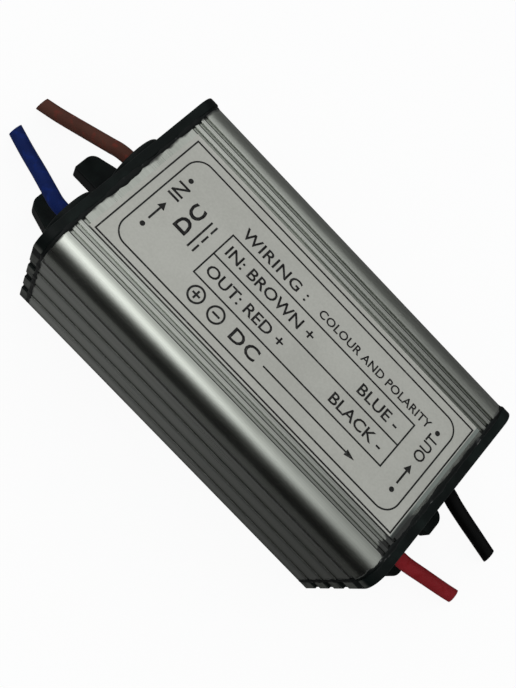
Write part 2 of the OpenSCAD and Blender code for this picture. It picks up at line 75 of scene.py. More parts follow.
# Leads: their section, where they leave their bosses, and their cut ends
LEAD_D = 2.5 * MM
LEAD_SIDES = 28
LEAD_EXIT_X = 35.6 * MM
LEAD_INNER_X = 21.0 * MM
LEAD_Y = 7.0 * MM
LEAD_Z = 11.5 * MM
LEAD_SPAN_POINTS = 4
TIP_LENGTH = 2 * MM
TIP_EDGE = 0.06 * MM
TIP_SLANT = {-1: -0.2, 1: 0.26}
BORE_D = 1.2 * MM
BORE_DEPTH = 1.0 * MM
STRAND_R = 0.17 * MM
STRAND_RING_R = 0.36 * MM
STRAND_LENGTH = 0.9 * MM

# Each lead's end and side of the case, and its route from the boss outwards, across and up, in millimetres
LEADS = {
    "brown": (-1, 1, [
        (0.4, 0, 0), (2.4, 0, -0.5), (4.4, 0, -1.7), (8.4, 0, -4.1),
        (12.4, 0, -6.5), (15.4, 0, -8.2), (18.6, 0, -9.75),
    ]),
    "blue": (-1, -1, [
        (0.4, 0, 0), (2.4, 0.3, -0.5), (4.4, 1.2, -1.7), (8.4, 3.1, -4.2),
        (12.4, 4.9, -6.7), (15.4, 6.3, -8.5), (17.8, 7.4, -9.75),
    ]),
    "black": (1, 1, [
        (0.4, 0, 0), (2.4, 0, -0.5), (4.4, 0.1, -1.7), (8.4, 0.6, -4.2),
        (12.4, 1.2, -6.7), (15.4, 1.6, -8.5), (17.9, 1.8, -9.75),
    ]),
    "red": (1, -1, [
        (0.6, 0.03, -0.06), (2.2, 0.22, -0.5), (4.4, 0.8, -1.7), (8.4, 2.4, -4.25),
        (12.4, 4, -6.8), (14.9, 5, -8.35), (17, 5.9, -9.68),
    ]),
}


def add_object(name, data):
    """A new object in the scene."""
    made = bpy.data.objects.new(name, data)
    bpy.context.scene.collection.objects.link(made)
    return made


def evaluated_mesh(piece):
    """The mesh of an object with its modifiers applied."""
    graph = bpy.context.evaluated_depsgraph_get()
    return bpy.data.meshes.new_from_object(piece.evaluated_get(graph))


def apply_modifier(piece, modifier):
    """Gives an object the plain result of its modifier."""
    piece.data = evaluated_mesh(piece)
    piece.modifiers.remove(modifier)


def dress(mesh, material):
    """Gives a mesh one material."""
    mesh.materials.clear()
    mesh.materials.append(material)


class Socket:
    """An output socket on which sums are written as Python expressions."""

    def __init__(self, owner, socket):
        self.owner = owner
        self.socket = socket

    def combine(self, operation, first, second):
        return self.owner.node("ShaderNodeMath", {"operation": operation}, {0: first, 1: second})

    def __add__(self, other):
        return self.combine("ADD", self, other)

    def __sub__(self, other):
        return self.combine("SUBTRACT", self, other)

    def __rsub__(self, other):
        return self.combine("SUBTRACT", other, self)

    def __mul__(self, other):
        return self.combine("MULTIPLY", self, other)

    def __truediv__(self, other):
        return self.combine("DIVIDE", self, other)

    def __rtruediv__(self, other):
        return self.combine("DIVIDE", other, self)

    __radd__ = __add__
    __rmul__ = __mul__


class Tree:
    """Adds nodes to one node tree."""

    def __init__(self, tree):
        self.node_tree = tree

    def node(self, kind, settings=None, sockets=None, out=0):
        """Adds a node: its settings first, then the values or links of its sockets."""
        made = self.node_tree.nodes.new(kind)
        for name, value in (settings or {}).items():
            setattr(made, name, value)
        for name, value in (sockets or {}).items():
            if isinstance(value, Socket):
                self.node_tree.links.new(value.socket, made.inputs[name])
            else:
                made.inputs[name].default_value = value
        return Socket(self, made.outputs[out]) if made.outputs else None


class Finish(Tree):
    """A material whose patterns follow the part's own coordinates."""

    def __init__(self, name):
        self.material = bpy.data.materials.new(name)
        self.material.use_nodes = True
        super().__init__(self.material.node_tree)
        self.node_tree.nodes.clear()
        self.place = self.node("ShaderNodeTexCoord", out="Object")

    def axis(self, name):
        """One coordinate in millimetres."""
        return self.node("ShaderNodeSeparateXYZ", {}, {0: self.place}, name) * (1 / MM)

    def grain(self, size, detail=2.0, shift=0.0):
        """Noise from 0 to 1 with features of this size in millimetres along X, Y and Z."""
        scale = [1 / (MM * s) for s in size]
        vector = self.node("ShaderNodeMapping", {}, {0: self.place, "Location": (shift,) * 3, "Scale": scale})
        return self.node("ShaderNodeTexNoise", {}, {"Vector": vector, "Scale": 1.0, "Detail": detail})

    def specks(self, size, shift=0.0):
        """Distance from the nearest of many scattered points, spaced by about this size in millimetres."""
        vector = self.node("ShaderNodeMapping", {}, {0: self.place, "Location": (shift,) * 3})
        return self.node("ShaderNodeTexVoronoi", {}, {"Vector": vector, "Scale": 1 / (MM * size)})

    def step(self, value, low, high):
        """Rises smoothly from 0 at low to 1 at high."""
        sockets = {"Value": value, "From Min": low, "From Max": high}
        return self.node("ShaderNodeMapRange", {"interpolation_type": "SMOOTHSTEP"}, sockets)

    def absolute(self, value):
        """A value without its sign."""
        return self.node("ShaderNodeMath", {"operation": "ABSOLUTE"}, {0: value})

    def from_nearest(self, value, pitch):
        """Distance from the nearest whole multiple of a pitch."""
        sockets = {0: value, 1: pitch / 2, 2: -pitch / 2}
        return self.absolute(self.node("ShaderNodeMath", {"operation": "WRAP"}, sockets))

    def blend(self, first, second, factor):
        """A colour between two others."""
        colours = {6: first, 7: second, 0: factor}
        return self.node("ShaderNodeMix", {"data_type": "RGBA"}, colours, 2)

    def bump(self, height, depth, strength=1.0):
        """A normal that follows a height from 0 to 1, over this depth in millimetres."""
        sockets = {"Height": height, "Distance": depth * MM, "Strength": strength}
        return self.node("ShaderNodeBump", {}, sockets)

    def surface(self, sockets):
        """Closes the material with its shader."""
        shader = self.node("ShaderNodeBsdfPrincipled", {}, sockets)
        self.node("ShaderNodeOutputMaterial", {}, {"Surface": shader})
        return self.material


class Builder(Tree):
    """A Geometry Nodes tree with named inputs."""

    KINDS = {float: "NodeSocketFloat", int: "NodeSocketInt", bpy.types.Material: "NodeSocketMaterial"}

    def __init__(self, name, inputs):
        super().__init__(bpy.data.node_groups.new(name, "GeometryNodeTree"))
        interface = self.node_tree.interface
        interface.new_socket("Geometry", in_out="INPUT", socket_type="NodeSocketGeometry")
        interface.new_socket("Geometry", in_out="OUTPUT", socket_type="NodeSocketGeometry")
        self.identifiers = {}
        for label, kind in inputs.items():
            made = interface.new_socket(label, in_out="INPUT", socket_type=self.KINDS[kind])
            self.identifiers[label] = made.identifier
        self.entry = self.node("NodeGroupInput").socket.node

    def given(self, name):
        """The socket of one input."""
        return Socket(self, self.entry.outputs[name])

    def join(self, *parts):
        """Several geometries as one."""
        joined = self.node("GeometryNodeJoinGeometry")
        for part in parts:
            self.node_tree.links.new(part.socket, joined.socket.node.inputs[0])
        return joined

    def close(self, geometry):
        """Ends the tree: instances become plain mesh and take the material."""
        real = self.node("GeometryNodeRealizeInstances", {}, {0: geometry})
        dressed = self.node("GeometryNodeSetMaterial", {}, {0: real, "Material": self.given("Material")})
        self.node("NodeGroupOutput", {}, {0: dressed})

    def run(self, name, start, values):
        """Runs the tree on a start mesh and returns an object with the plain result."""
        piece = add_object(name, start)
        modifier = piece.modifiers.new("build", "NODES")
        modifier.node_group = self.node_tree
        for label, value in values.items():
            modifier[self.identifiers[label]] = value
        apply_modifier(piece, modifier)
        return piece


def srgb(red, green, blue):
    """A colour as it is seen on a screen, from 0 to 255, as linear values."""
    def linear(channel):
        share = channel / 255
        return share / 12.92 if share <= 0.04045 else ((share + 0.055) / 1.055) ** 2.4
    return (linear(red), linear(green), linear(blue), 1.0)


def extruded_aluminium():
    """Satin metal with fine lines along it, painted shade and painted highlights along its grooves, strips
    and cove, and sealant wiped over its ends.
    """
    finish = Finish("extruded_aluminium")
    lines = finish.grain((500, 0.16, 0.16), 3.0)
    bands = finish.grain((400, 1.8, 1.8), 2.0, 5.0)
    patches = finish.grain((11, 6, 6), 3.0, 9.0)
    shade = 0.4 * lines + 0.35 * bands + 0.25 * patches
    metal = finish.blend(srgb(155, 159, 152), srgb(179, 183, 176), finish.step(shade, 0.3, 0.7))
    # Grooves, strips and the cove of the section, with painted shade and painted highlights on them
    along = finish.axis("X")
    across = finish.axis("Y")
    height = finish.axis("Z")
    off_middle = finish.absolute(across)
    # Painted shade inside the top grooves
    in_top = finish.step(height, 25.95, 25.7) * finish.step(off_middle, 13.78, 13.76)
    # Painted shade on the lower sides, beside each side strip, at the foot and in the cove
    in_side = finish.step(off_middle, 17.9, 17.5) * finish.step(height, 17.6, 17.2)
    from_strip = finish.from_nearest(height, STRIP_PITCH)
    on_side = finish.step(off_middle, 17.0, 17.3)
    strip_edge = finish.step(from_strip, 1.6, 0.1) * on_side * finish.step(height, 19.6, 19.0)
    foot = finish.step(height, 2.4, 0.8) * on_side
    cove = finish.step(finish.absolute(height - 21.85), 0.5, 0.15) * on_side
    # Painted highlight on the lip just below the cove
    lip = finish.step(finish.absolute(height - 21.2), 0.3, 0.1) * on_side
    side_shade = 0.5 * in_side + 0.58 * strip_edge + 0.4 * foot + 0.45 * cove
    # Top face: painted shade in the grooves, lifted on the middle of their floors, a painted shadow along the
    # near edge of each groove and a painted highlight on the ridges between them
    from_groove = finish.from_nearest(off_middle - GROOVE_Y, GROOVE_PITCH)
    clear = finish.step(height, 25.66, 25.62) * finish.step(from_groove, 0.25, 0.21)
    grooved = finish.step(off_middle, 10.5, 10.6) * finish.step(off_middle, 14.02, 13.95)
    on_top = finish.step(height, 25.9, 25.98) * grooved
    from_edge = finish.from_nearest(finish.absolute(across + 0.33) - GROOVE_Y, GROOVE_PITCH)
    # Painted shadow: a dark line along the near edge of each groove
    rim = finish.step(from_edge, 0.12, 0.08) * on_top
    # Painted highlight: a pale band on the ridges beside each groove
    toned = finish.step(from_groove, 0.4, 0.44) * finish.step(from_groove, 0.56, 0.48) * on_top
    # Painted shade in the grooves, less on the middle of their floors
    groove_shade = 0.85 * in_top * (1 - 0.85 * clear)
    # All the painted shade, thinner in patches
    painted_shade = (groove_shade + side_shade) * finish.step(patches, 0.0, 0.6)
    metal = finish.blend(metal, srgb(196, 198, 193), 0.6 * toned)
    metal = finish.blend(metal, srgb(226, 228, 224), 0.8 * lip)
    metal = finish.blend(metal, srgb(64, 68, 63), painted_shade)
    metal = finish.blend(metal, srgb(34, 36, 34), 0.9 * rim)
    # Sealant wiped over the ends, further at the near corner of the output end
    from_end = CASE_END / MM - finish.absolute(along)
    ragged = finish.grain((2.0, 1.3, 1.6), 1.5, 2.0)
    wiped = finish.grain((1.6, 0.6, 1.4), 3.0, 7.0)
    output_end = finish.step(along, 20.0, 25.0) * finish.step(height, 25.2, 25.5)
    corner = finish.step(across, -9.6, -10.6) * finish.step(across, -14.3, -13.6) * output_end
    half = finish.step(across, -5.0, -7.5) * finish.step(across, -14.3, -13.6) * output_end
    rounded = finish.step(across, -13.6, -14.2) * output_end
    reach = ragged - 0.35 + 1.5 * corner * wiped + 0.8 * half - 0.3 * rounded
    smear = 0.94 * finish.step(from_end, reach + 0.3, reach - 0.15)
    # Painted shade on the last 0.8 mm of the top at the output end, beside the cap
    output_end_shade = 0.4 * output_end * finish.step(from_end, 0.85, 0.7) * finish.step(off_middle, 11.0, 10.6)
    base = finish.blend(finish.blend(metal, srgb(66, 70, 67), output_end_shade), srgb(12, 13, 12), smear)
    rounding = finish.step(off_middle, 13.7, 14.0) * finish.step(height, 24.6, 25.2)
    return finish.surface({
        "Base Color": base,
        "Metallic": 1 - 0.97 * finish.step(smear, 0.6, 0.94),
        "Roughness": 0.22 + 0.06 * lines + 0.08 * patches + 0.06 * rounding + 0.2 * painted_shade + 0.2 * smear,
        "Specular IOR Level": 0.3,
        "Normal": finish.bump(lines + 0.6 * bands, 0.003, 0.5),
    })


def moulded_plastic():
    """Black moulded plastic with a faint grain, worn patches and a little dust."""
    finish = Finish("moulded_black_plastic")
    grain = finish.grain((0.12, 0.12, 0.12), 2.0)
    worn = finish.grain((3.5, 3.5, 3.5), 4.0, 3.0)
    dust = finish.step(finish.specks(1.7, 1.3), 0.075, 0.03) * finish.step(worn, 0.5, 0.62)
    sides = finish.step(finish.absolute(finish.axis("Y")), 17.6, 17.95)
    body = finish.blend(srgb(8, 14, 13), srgb(16, 24, 22), finish.step(worn, 0.42, 0.7))
    between_notches = finish.step(finish.from_nearest(finish.axis("Z"), STRIP_PITCH), 0.97, 1.25)
    scuffs = sides * between_notches * finish.step(worn, 0.2, 0.55)
    body = finish.blend(body, srgb(74, 75, 71), 0.75 * scuffs)
    return finish.surface({
        "Base Color": finish.blend(body, srgb(96, 100, 97), 0.5 * dust),
        "Roughness": 0.36 + 0.2 * worn + 0.15 * dust,
        "Specular IOR Level": 0.08,
        "Normal": finish.bump(grain + 0.8 * worn, 0.015, 0.35),
    })


def black_sealant():
    """Soft black sealant with small lumps."""
    finish = Finish("black_sealant")
    lumps = finish.grain((0.5, 0.5, 0.5), 3.0)
    tone = finish.grain((2.0, 2.0, 2.0), 2.0, 4.0)
    return finish.surface({
        "Base Color": finish.blend(srgb(6, 9, 9), srgb(16, 20, 19), tone),
        "Roughness": 0.3 + 0.3 * tone,
        "Specular IOR Level": 0.1,
        "Coat Weight": finish.step(tone, 0.63, 0.72),
        "Coat Roughness": 0.12,
        "Normal": finish.bump(lumps, 0.06, 0.6),
    })


def label_film():
    """Silver grey film with a fine mottled sheen, dull and smudged past the printed frame."""
    finish = Finish("label_film")
    fine = finish.grain((0.35, 0.35, 0.35), 3.0)
    cloud = finish.grain((13, 9, 9), 3.0, 6.0)
    shade = 0.4 * fine + 0.6 * cloud
    film = finish.blend(srgb(161, 161, 154), srgb(172, 172, 165), finish.step(shade, 0.3, 0.7))
    along = finish.axis("X")
    film = finish.blend(film, srgb(112, 119, 114), finish.step(along, 29.56, 29.66))
    smudge = finish.step(finish.axis("Y"), -4.5, -7.5) * finish.step(along + 0.5 * cloud, 29.85, 30.15)
    return finish.surface({
        "Base Color": finish.blend(film, srgb(22, 24, 23), 0.85 * smudge),
        "Metallic": 0.2,
        "Roughness": 0.42 + 0.12 * cloud,
        "Specular IOR Level": 0.3,
        "Normal": finish.bump(fine + 2 * cloud, 0.01, 0.3),
    })


def printing_ink():
    """Black ink, a little thin in places."""
    finish = Finish("printing_ink")
    thin = finish.step(finish.grain((0.5, 0.5, 0.5), 3.0, 8.0), 0.55, 0.8)
    return finish.surface({
        "Base Color": finish.blend(srgb(20, 20, 19), srgb(70, 71, 69), thin),
        "Roughness": 0.5 + 0.15 * thin,
        "Specular IOR Level": 0.2,
    })


def insulation(name, dark, pale, patch):
    """Wire insulation with rubbed patches in a second colour and a faint grain."""
    finish = Finish(name)
    toned = finish.step(finish.grain((2.2, 1.2, 1.2), 3.0, 3.0), 0.5, 0.72)
    tone = finish.grain((6.0, 3.0, 3.0), 2.0)
    grain = finish.grain((0.2, 0.2, 0.2), 2.0, 5.0)
    body = finish.blend(dark, pale, tone)
    return finish.surface({
        "Base Color": finish.blend(body, patch, 0.7 * toned),
        "Roughness": 0.45 + 0.15 * toned,
        "Specular IOR Level": 0.03,
        "Normal": finish.bump(grain + toned, 0.012, 0.4),
    })


def bare_metal(name, dark, pale, roughness):
    """Drawn or soldered metal with fine marks."""
    finish = Finish(name)
    marks = finish.grain((0.3, 0.3, 0.3), 3.0)
    return finish.surface({
        "Base Color": finish.blend(dark, pale, marks),
        "Metallic": 1.0,
        "Roughness": roughness + 0.15 * marks,
        "Normal": finish.bump(marks, 0.01, 0.3),
    })


def wound_copper():
    """Enamelled copper wire wound round an upright core."""
    finish = Finish("wound_copper")
    turn = finish.node("ShaderNodeMath", {"operation": "SINE"}, {0: finish.axis("Z") * (2 * math.pi / 0.45)})
    tone = finish.grain((2.0, 2.0, 0.4), 2.0)
    return finish.surface({
        "Base Color": finish.blend(srgb(112, 48, 20), srgb(196, 108, 54), tone),
        "Metallic": 0.9,
        "Roughness": 0.3 + 0.1 * tone,
        "Normal": finish.bump(0.5 + 0.5 * turn, 0.1, 0.8),
    })


def dull_body(name, dark, pale, roughness, size):
    """Moulded or fired body with a fine grain."""
    finish = Finish(name)
    grain = finish.grain((size, size, size), 3.0)
    return finish.surface({
        "Base Color": finish.blend(dark, pale, grain),
        "Roughness": roughness + 0.15 * grain,
        "Specular IOR Level": 0.35,
        "Normal": finish.bump(grain, 0.02, 0.3),
    })


def circuit_laminate():
    """Green board with paler areas where copper lies under the lacquer."""
    finish = Finish("circuit_laminate")
    weave = finish.grain((0.5, 0.08, 0.5), 1.0) + finish.grain((0.08, 0.5, 0.5), 1.0)
    pours = finish.step(finish.grain((9, 4, 60), 0.0, 2.0), 0.49, 0.51)
    return finish.surface({
        "Base Color": finish.blend(srgb(12, 70, 38), srgb(26, 104, 58), pours),
        "Roughness": 0.3 + 0.05 * weave,
        "Specular IOR Level": 0.5,
        "Normal": finish.bump(pours + 0.1 * weave, 0.04, 0.5),
    })


def capacitor_sleeve():
    """Dark shrink sleeve with faint marks along it."""
    finish = Finish("capacitor_sleeve")
    tone = finish.grain((1.5, 1.5, 6.0), 2.0)
    return finish.surface({
        "Base Color": finish.blend(srgb(20, 24, 48), srgb(32, 38, 70), tone),
        "Roughness": 0.25 + 0.1 * tone,
        "Normal": finish.bump(tone, 0.03, 0.3),
    })


def make_camera():
    """The photograph's view."""
    data = bpy.data.cameras.new("camera")
    data.sensor_width = SENSOR_MM
    data.lens = FOCAL_PX * SENSOR_MM / PHOTO_H
    data.clip_start = 1 * MM
    data.clip_end = 20.0
    camera = add_object("camera", data)
    back = -CAMERA_AHEAD.normalized()
    right = CAMERA_UP.cross(back).normalized()
    turn = Matrix((right, back.cross(right), back)).transposed()
    camera.matrix_world = Matrix.Translation(CAMERA_AT) @ turn.to_4x4()
    bpy.context.scene.camera = camera


def settle(piece, replaced=None):
    """Tells the frame what a piece rides on and hides the CAD node it stands for."""
    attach(piece, "root")
    if replaced:
        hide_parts(replaced)
    return piece


def smooth_route(points, per_span):
    """Points of a smooth curve through a route's points."""
    ends = [2 * points[0] - points[1], *points, 2 * points[-1] - points[-2]]
    route = []
    for before, here, there, after in zip(ends, ends[1:], ends[2:], ends[3:]):
        for i in range(per_span):
            t = i / per_span
            bend = (2 * before - 5 * here + 4 * there - after) * t * t
            twist = (3 * here - before - 3 * there + after) * t ** 3
            route.append((2 * here + (there - before) * t + bend + twist) / 2)
    return [*route, points[-1]]


def lead_route(end, side, free):
    """Route of a lead from inside the case to its cut end."""
    inside = LEAD_INNER_X - LEAD_EXIT_X
    steps = [Vector((inside * share, 0, 0)) for share in (1, 0.5, 0.14)]
    steps += [Vector(step) * MM for step in free]
    exit_at = Vector((LEAD_EXIT_X, side * LEAD_Y, LEAD_Z))
    points = [exit_at + step for step in steps]
    return smooth_route([Vector((end * p.x, p.y, p.z)) for p in points], LEAD_SPAN_POINTS)


def arc(first, second, radius, start, stop, count):
    """Points of an arc round a centre, in degrees from the first axis towards the second."""
    angles = [math.radians(start + (stop - start) * i / count) for i in range(count + 1)]
    return [(first + radius * math.cos(a), second + radius * math.sin(a)) for a in angles]


def circle(first, second, radius, count):
    """Points of a whole circle round a centre."""
    return arc(first, second, radius, 0, 360, count)[:-1]


def ring(centre, ahead, side, radius):
    """Points of a circle round a lead's route."""
    up = ahead.cross(side)
    return [centre + a * side + b * up for a, b in circle(0, 0, radius, LEAD_SIDES)]


def lead_mesh(name, route, end):
    """Insulation of one lead: a round tube with a slanted cut, softened edges and an open bore."""
    radius = LEAD_D / 2
    tip = route[-1]
    ahead = (tip - route[-2]).normalized()
    side = Vector((0, 0, 1)).cross(route[1] - route[0]).normalized()
    rings = []
    for i, centre in enumerate(route):
        if (tip - centre).length > TIP_LENGTH:
            heading = (route[i + 1] - route[max(i - 1, 0)]).normalized()
            side = (side - side.dot(heading) * heading).normalized()
            rings.append(ring(centre, heading, side, radius))
    side = (side - side.dot(ahead) * ahead).normalized()
    cut = Vector((1, 0, TIP_SLANT[end]))
    bore = BORE_D / 2
    softened = ((radius, TIP_EDGE), (radius - 0.3 * TIP_EDGE, 0.3 * TIP_EDGE), (radius - TIP_EDGE, 0))
    for size, back in softened + ((bore, 0), (bore, BORE_DEPTH)):
        square = ring(tip, ahead, side, size)
        rings.append([p + ahead * ((tip - p).dot(cut) / ahead.dot(cut) - back) for p in square])
    bm = bmesh.new()
    rings = [[bm.verts.new(p) for p in points] for points in rings]
    for low, high in zip(rings, rings[1:]):
        for k in range(LEAD_SIDES):
            n = (k + 1) % LEAD_SIDES
            bm.faces.new((low[k], low[n], high[n], high[k]))
    bm.faces.new(list(reversed(rings[0])))
    bm.faces.new(rings[-1])
    for face in bm.faces:
        face.smooth = True
    mesh = bpy.data.meshes.new(name)
    bm.to_mesh(mesh)
    bm.free()
    return mesh


def strand_builder():
    """Copper strands of a cut lead: one in the middle and a ring of others round it."""
    tree = Builder("copper_strands", {
        "Strand Radius": float, "Ring Radius": float, "Length": float, "Count": int,
        "Material": bpy.types.Material,
    })
    round_ring = tree.node("GeometryNodeMeshCircle", {}, {
        "Vertices": tree.given("Count"), "Radius": tree.given("Ring Radius"),
    })
    middle = tree.node("GeometryNodeMeshLine", {}, {"Count": 1})
    strand = tree.node("GeometryNodeMeshCylinder", {}, {
        "Vertices": 12, "Radius": tree.given("Strand Radius"), "Depth": tree.given("Length"),
    })
    tree.close(tree.node("GeometryNodeInstanceOnPoints", {}, {
        "Points": tree.join(round_ring, middle), "Instance": strand,
    }))
    return tree


def bead_builder():
    """Lumpy bead of sealant along an outline."""
    tree = Builder("sealant_bead", {
        "Spacing": float, "Thin": float, "Thick": float, "Lump Size": float, "Seed": float, "Flatness": float,
        "Material": bpy.types.Material,
    })
    line = tree.node("GeometryNodeMeshToCurve", {}, {0: tree.given("Geometry")})
    even = tree.node("GeometryNodeResampleCurve", {"mode": "LENGTH"}, {
        0: line, "Length": tree.given("Spacing"),
    })
    upright = tree.node("GeometryNodeSetCurveNormal", {"mode": "FREE"}, {0: even, "Normal": (1, 0, 0)})
    lumps = tree.node("ShaderNodeTexNoise", {"noise_dimensions": "4D"}, {
        "Vector": tree.node("GeometryNodeInputPosition"), "W": tree.given("Seed"),
        "Scale": 1 / tree.given("Lump Size"), "Detail": 3.0,
    })
    width = tree.node("ShaderNodeMapRange", {}, {
        "Value": lumps, "From Min": 0.32, "From Max": 0.7,
        "To Min": tree.given("Thin"), "To Max": tree.given("Thick"),
    })
    section = tree.node("GeometryNodeCurvePrimitiveCircle", {}, {"Resolution": 10, "Radius": 1.0})
    squeeze = tree.node("ShaderNodeCombineXYZ", {}, {0: 1.0, 1: tree.given("Flatness"), 2: 1.0})
    flat = tree.node("GeometryNodeTransform", {}, {0: section, "Scale": squeeze})
    bead = tree.node("GeometryNodeCurveToMesh", {}, {
        "Curve": upright, "Profile Curve": flat, "Scale": width, "Fill Caps": True,
    })
    tree.close(tree.node("GeometryNodeSetShadeSmooth", {}, {0: bead}))
    return tree


def line_mesh(name, points, closed=False):
    """A mesh of edges through points, for a builder to follow."""
    count = len(points)
    edges = [(i, (i + 1) % count) for i in range(count if closed else count - 1)]
    mesh = bpy.data.meshes.new(name)
    mesh.from_pydata(points, edges, [])
    return mesh


def case_outline(x, inset):
    """Outline of the case from its lower edge over the top to the other lower edge."""
    y = CASE_SIDE - CORNER_R
    z = CASE_TOP - CORNER_R
    radius = CORNER_R - inset
    side = CASE_SIDE - inset
    section = [(-side, FOOT_R)]
    section += arc(-y, z, radius, 180, 90, 12)
    section += arc(y, z, radius, 90, 0, 12)
    section.append((side, FOOT_R))
    return [(x, a, b) for a, b in section]


def softened_copy(node, name, width, inward, segments, material):
    """A copy of a CAD node with its edges rounded, the inward ones by a share, standing for that node."""
    source = cad_nodes[node].data
    mesh = bpy.data.meshes.new(name)
    mesh.from_pydata([v.co for v in source.vertices], [], [tuple(p.vertices) for p in source.polygons])
    bm = bmesh.new()
    bm.from_mesh(mesh)
    bmesh.ops.remove_doubles(bm, verts=bm.verts, dist=WELD_DISTANCE)
    bmesh.ops.dissolve_limit(bm, angle_limit=FLAT_ANGLE, verts=bm.verts, edges=bm.edges)
    bm.normal_update()
    share = bm.edges.layers.float.new("bevel_weight_edge")
    for edge in bm.edges:
        if edge.calc_face_angle(0) > SHARP_EDGE:
            edge[share] = 1.0 if edge.is_convex else inward
    for face in bm.faces:
        face.smooth = True
    bm.to_mesh(mesh)
    bm.free()
    piece = add_object(name, mesh)
    bevel = piece.modifiers.new("soften", "BEVEL")
    bevel.width = width
    bevel.segments = segments
    bevel.limit_method = "WEIGHT"
    bevel.use_clamp_overlap = False
    bevel.harden_normals = True
    apply_modifier(piece, bevel)
    dress(piece.data, material)
    return settle(piece, node)


class Print:
    """Flat print collected on the label, in millimetres along the case and across it."""

    THICKNESS = 0.02 * MM
    # Height of a capital letter as a share of the font's size
    CAPITAL_SHARE = 0.729

    def __init__(self):
        self.bm = bmesh.new()

    def point(self, x, y):
        return self.bm.verts.new((x * MM, y * MM, LABEL_TOP))

    def polygon(self, points):
        self.bm.faces.new([self.point(x, y) for x, y in points])

    def stroke(self, points, width, closed=False):
        """A line of even width through points, with mitred corners."""
        count = len(points)
        left, right = [], []
        for i, here in enumerate(points):
            before = Vector(points[i - 1]) if closed or i > 0 else None
            after = Vector(points[(i + 1) % count]) if closed or i < count - 1 else None
            spans = ((before, Vector(here)), (Vector(here), after))
            ahead = [(b - a).normalized() for a, b in spans if a and b]
            normals = [Vector((-d.y, d.x)) for d in ahead]
            middle = sum(normals, Vector((0, 0))).normalized()
            reach = width / 2 / max(0.5, middle.dot(normals[0]))
            left.append(self.point(*(Vector(here) + reach * middle)))
            right.append(self.point(*(Vector(here) - reach * middle)))
        for i in range(count if closed else count - 1):
            n = (i + 1) % count
            self.bm.faces.new((left[i], right[i], right[n], left[n]))

    def disc(self, x, y, radius):
        self.polygon(circle(x, y, radius, 24))

    def hoop(self, x, y, radius, width):
        self.stroke(circle(x, y, radius, 32), width, True)

    def frame(self, low, high, radius, width):
        """A rectangle with round corners."""
        corners = [
            (high[0] - radius, high[1] - radius, 0), (low[0] + radius, high[1] - radius, 90),
            (low[0] + radius, low[1] + radius, 180), (high[0] - radius, low[1] + radius, 270),
        ]
        points = []
        for x, y, start in corners:
            points += arc(x, y, radius, start, start + 90, 10)
        self.stroke(points, width, True)

    def words(self, text, at, height, turn=0, stretch=1.0, spacing=1.0, weight=0.03):
        """A line of lettering that starts at a point, with capitals of this height."""
        curve = bpy.data.curves.new("words", "FONT")
        curve.body = text
        curve.fill_mode = "FRONT"
        curve.size = height / self.CAPITAL_SHARE
        curve.offset = weight
        curve.space_character = spacing
        curve.resolution_u = 3
        piece = add_object("words", curve)
        mesh = evaluated_mesh(piece)
        bpy.data.objects.remove(piece)
        place = Matrix.Translation((at[0] * MM, at[1] * MM, LABEL_TOP))
        turned = Matrix.Rotation(math.radians(turn), 4, "Z")
        scaled = Matrix.Diagonal((stretch * MM, MM, MM, 1))
        mesh.transform(place @ turned @ scaled)
        self.bm.from_mesh(mesh)
        bpy.data.meshes.remove(mesh)

    def piece(self, name, material):
        """The print as one thin solid piece on the label."""
        mesh = bpy.data.meshes.new(name)
        self.bm.normal_update()
        for face in self.bm.faces:
            if face.normal.z < 0:
                face.normal_flip()
        self.bm.to_mesh(mesh)
        self.bm.free()
        piece = add_object(name, mesh)
        solid = piece.modifiers.new("thickness", "SOLIDIFY")
        solid.thickness = self.THICKNESS
        solid.offset = 1.0
        apply_modifier(piece, solid)
        dress(piece.data, material)
        return settle(piece)


